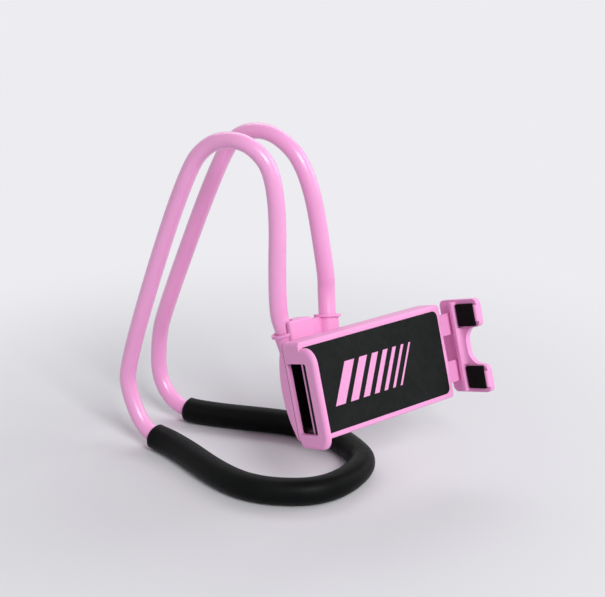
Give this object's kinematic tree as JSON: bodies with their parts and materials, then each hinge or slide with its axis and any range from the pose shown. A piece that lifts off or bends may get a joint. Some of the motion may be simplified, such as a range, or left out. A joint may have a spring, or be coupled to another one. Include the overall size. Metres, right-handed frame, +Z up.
{
  "type": "neck phone holder",
  "caption": "Phone holder worn round the neck: a bendable arm with a foam sleeve, arching to a swivelling clip with a spring-loaded sliding jaw.",
  "frame": {"origin": "on the desk under the middle of the holder's box, as it stands on its neck sleeve", "axes": "+Z up, +X from the loop's open end forward towards the user side that the clip faces, +Y across the clip towards its moving jaw"},
  "size_m": [0.2286, 0.178, 0.2385],
  "materials": {
    "pink_shell": "fine satin moulding",
    "pink_jacket": "smooth soft-touch jacket over a bendable core",
    "black_foam": "closed-cell foam",
    "black_rubber": "fine-grained rubber sheet",
    "spring_steel": "drawn wire",
    "plated_steel": "zinc plated",
    "white_nylon": "plain nylon"
  },
  "bodies": {
    "neck": {"gooseneck": "pink_jacket", "neck_sleeve": "black_foam", "socket_bracket": "pink_shell", "bracket_cap": "pink_shell", "friction_washer": "white_nylon"},
    "clip": {"front_housing": "pink_shell", "back_cover": "pink_shell", "cover_screws": "plated_steel", "front_pad": "black_rubber", "fixed_jaw_pad": "black_foam", "upper_spring": "spring_steel", "lower_spring": "spring_steel", "swivel_bolt": "plated_steel", "swivel_nut": "plated_steel", "disc_spring": "spring_steel"},
    "jaw": {"sliding_jaw": "pink_shell", "upper_jaw_pad": "black_foam", "lower_jaw_pad": "black_foam"}
  },
  "joints": [
    {"name": "clip_swivel", "type": "hinge", "parent": "neck", "child": "clip", "pos_m": [0.05869, -0.0119, 0.07627], "axis": [0.9516, 0, 0.3074], "range_deg": [-60, 50]},
    {"name": "jaw_slide", "type": "slide", "parent": "clip", "child": "jaw", "axis": [0.0014, 1, -0.0043], "range_m": [0, 0.0376], "stiffness_N_per_m": 220, "springref_m": -0.015, "deforming": ["upper_spring", "lower_spring"]}
  ]
}
